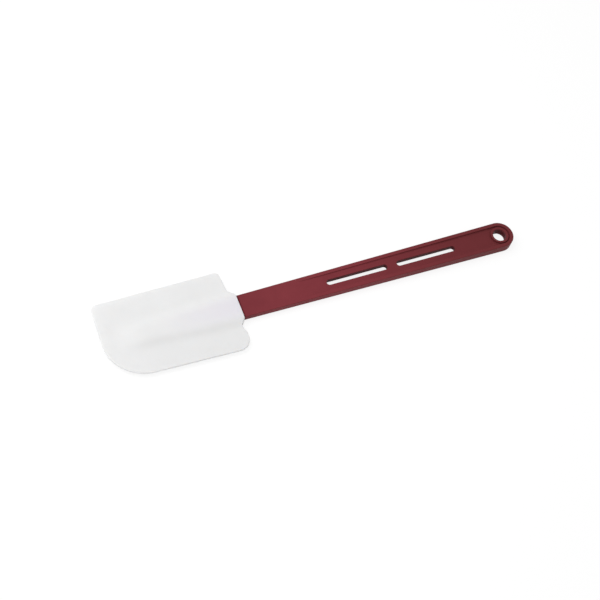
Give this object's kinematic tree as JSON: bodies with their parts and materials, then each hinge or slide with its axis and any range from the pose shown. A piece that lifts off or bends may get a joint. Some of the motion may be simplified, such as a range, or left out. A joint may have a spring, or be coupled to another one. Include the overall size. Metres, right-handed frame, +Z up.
{
  "type": "silicone spatula",
  "caption": "Bowl scraper spatula: a flat silicone blade with one large rounded corner, moulded over the tang of a long tapered handle with slots and a hanging hole.",
  "frame": {"origin": "under the middle of the object, on the surface that it lies on", "axes": "+X from the blade's tip to the hanging hole, +Y across the blade towards its square corner, +Z up through the thickness"},
  "size_m": [0.343, 0.0688, 0.008],
  "materials": {
    "handle": "satin",
    "blade": "matte"
  },
  "bodies": {
    "root": {"handle": "handle", "blade": "blade"}
  },
  "joints": []
}
